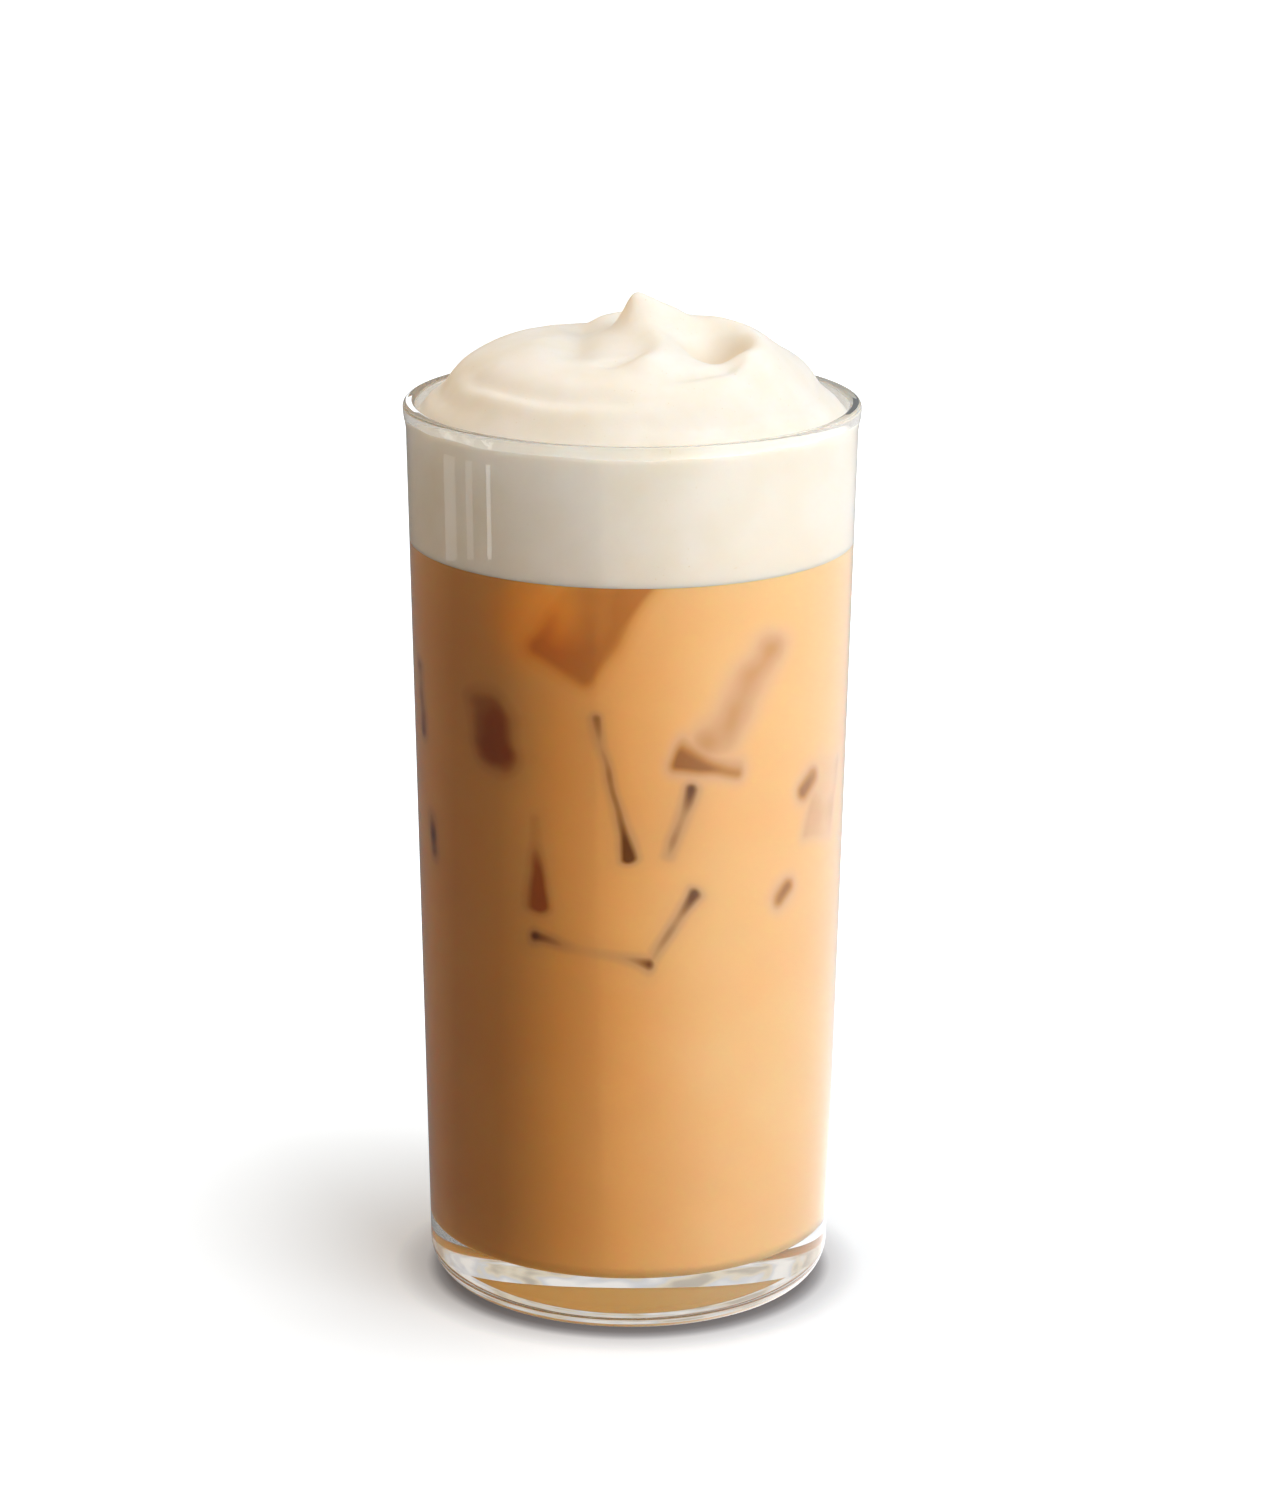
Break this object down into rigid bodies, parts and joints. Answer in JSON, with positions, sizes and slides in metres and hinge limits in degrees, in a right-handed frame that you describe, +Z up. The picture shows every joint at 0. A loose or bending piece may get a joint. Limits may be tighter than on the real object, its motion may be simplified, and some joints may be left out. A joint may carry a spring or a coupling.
{
  "type": "iced chai latte",
  "caption": "Iced chai latte in a straight, slightly tapered clear tumbler with a heavy floor, topped with a swirled dome of cold foam that stands over the rim.",
  "frame": {"origin": "middle of the glass's foot, on the surface that it stands on", "axes": "+Z up through the glass, +X to the right of the drink and -Y to its front, with the foam's peak a little right of the axis and its hollow at the front right"},
  "size_m": [0.078, 0.078, 0.1752],
  "materials": {
    "clear_glass": "clear, polished",
    "milk_chai": "milky tan liquid, wet, with ice seen through it near the wall",
    "ice": "clear, melted edges",
    "cold_foam": "soft, satin, finely bubbled cream"
  },
  "bodies": {
    "root": {"glass": "clear_glass", "chai": "milk_chai", "foam": "cold_foam"}
  },
  "joints": []
}
